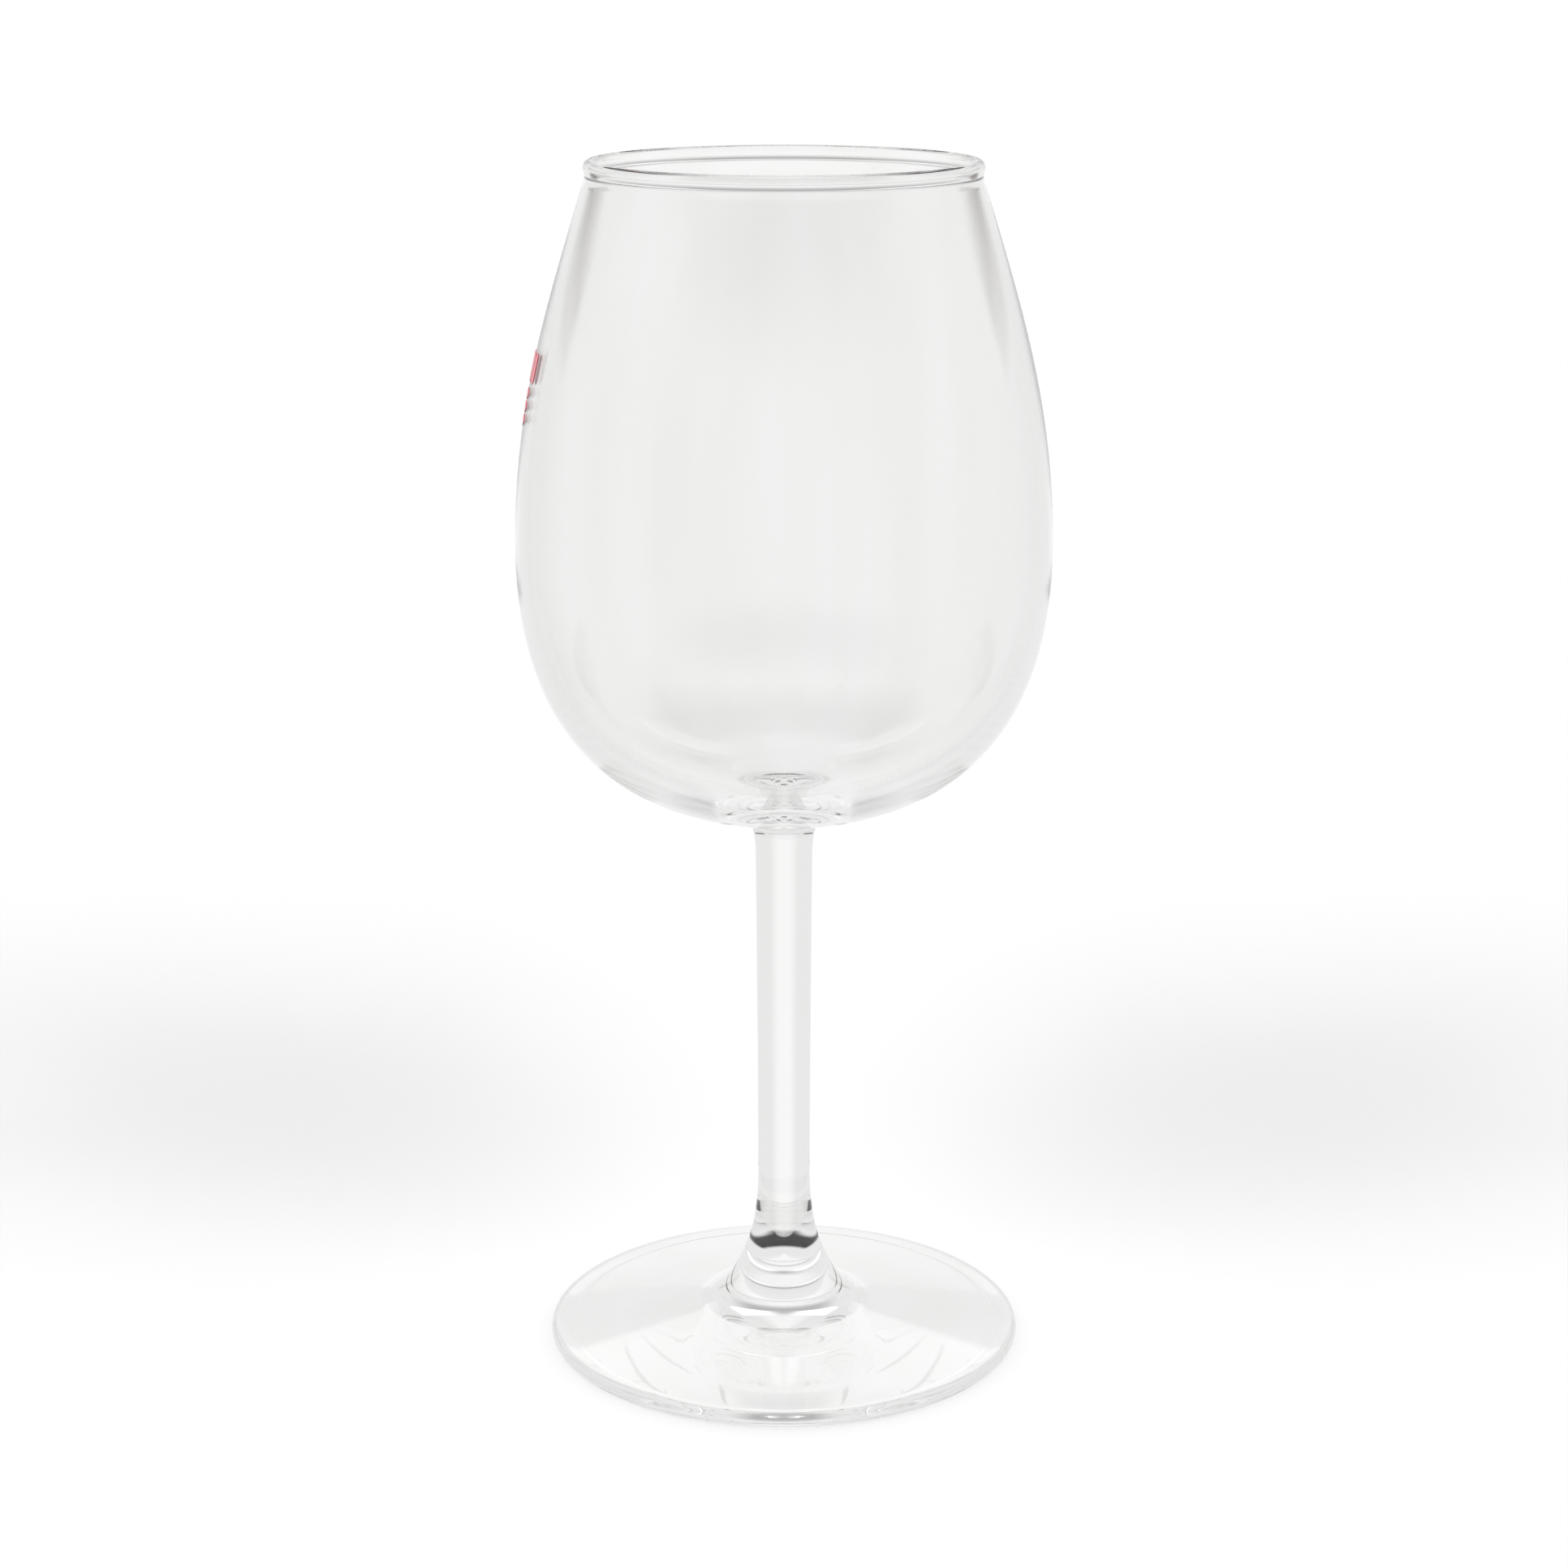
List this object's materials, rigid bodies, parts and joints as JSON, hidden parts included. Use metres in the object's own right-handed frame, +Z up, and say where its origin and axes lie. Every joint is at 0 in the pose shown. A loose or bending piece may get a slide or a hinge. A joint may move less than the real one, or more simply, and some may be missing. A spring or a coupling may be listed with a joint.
{
  "type": "wine glass",
  "caption": "Clear stemmed wine glass: tulip bowl with a bead rim, slim waisted stem, round foot and a small red print.",
  "frame": {"origin": "centre of the foot, on the table", "axes": "+Z up along the glass's axis of revolution; the print faces -X, turned 6.5 degrees towards -Y"},
  "size_m": [0.083, 0.083, 0.19],
  "materials": {
    "bowl_glass": "clear, polished",
    "stem_glass": "clear, polished",
    "foot_glass": "clear, polished",
    "enamel": "dark red enamel, fired on"
  },
  "bodies": {
    "root": {"bowl": "bowl_glass", "stem": "stem_glass", "foot": "foot_glass", "printed_bars": "enamel", "printed_lozenges": "enamel"}
  },
  "joints": []
}
